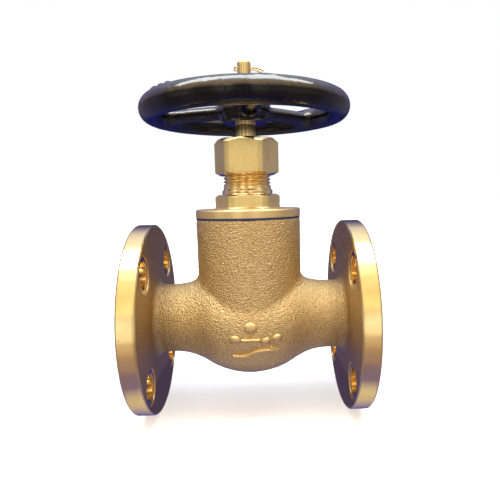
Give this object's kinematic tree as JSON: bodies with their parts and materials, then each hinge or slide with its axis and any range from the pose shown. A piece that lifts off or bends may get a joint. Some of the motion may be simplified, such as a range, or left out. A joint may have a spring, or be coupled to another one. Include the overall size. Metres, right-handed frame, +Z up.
{
  "type": "globe valve",
  "caption": "Flanged bronze globe valve with screwed bonnet, rising stem, hexagon packing nut and round three-spoke handwheel; turning the wheel lifts the disc off its seat.",
  "frame": {"origin": "centre of the inlet flange's face, on the pipe axis", "axes": "+X along the pipe from inlet to outlet, +Z up along the stem axis, which crosses the pipe axis at x = 67 mm"},
  "size_m": [0.134, 0.1212, 0.2075],
  "materials": {
    "cast_bronze": "satin",
    "machined_bronze": "polished",
    "black_enamel": "gloss",
    "joint_sheet": "matte",
    "braided_packing": "matte",
    "plated_steel": "satin",
    "brass_wire": "polished"
  },
  "bodies": {
    "valve_body": {"body": "cast_bronze", "bonnet_gasket": "joint_sheet", "bonnet": "machined_bronze", "packing_seat_ring": "machined_bronze", "packing_ring_1": "braided_packing", "packing_ring_2": "braided_packing", "packing_ring_3": "braided_packing", "packing_ring_4": "braided_packing"},
    "gland": {"gland": "machined_bronze"},
    "packing_nut": {"packing_nut": "machined_bronze"},
    "disc": {"disc": "machined_bronze", "disc_nut": "machined_bronze"},
    "stem": {"stem": "machined_bronze", "handwheel": "black_enamel", "wheel_washer": "plated_steel", "wheel_nut": "machined_bronze", "split_pin": "brass_wire"}
  },
  "joints": [
    {"name": "disc_lift", "type": "slide", "parent": "valve_body", "child": "disc", "axis": [0, 0, 1], "range_m": [0, 0.0099]},
    {"name": "handwheel_turn", "type": "hinge", "parent": "disc", "child": "stem", "pos_m": [0.067, 0, 0.122], "axis": [0, 0, 1], "range_deg": [0, 1190]},
    {"name": "gland_lift", "type": "slide", "parent": "valve_body", "child": "gland", "axis": [0, 0, 1], "range_m": [0, 0.004]},
    {"name": "packing_nut_turn", "type": "hinge", "parent": "gland", "child": "packing_nut", "pos_m": [0.067, 0, 0.096], "axis": [0, 0, 1], "range_deg": [0, 721]}
  ],
  "couplings": [
    {"joint": "handwheel_turn", "follows": "disc_lift", "rad_per_m": 2094.4},
    {"joint": "packing_nut_turn", "follows": "gland_lift", "rad_per_m": 3141.6}
  ]
}
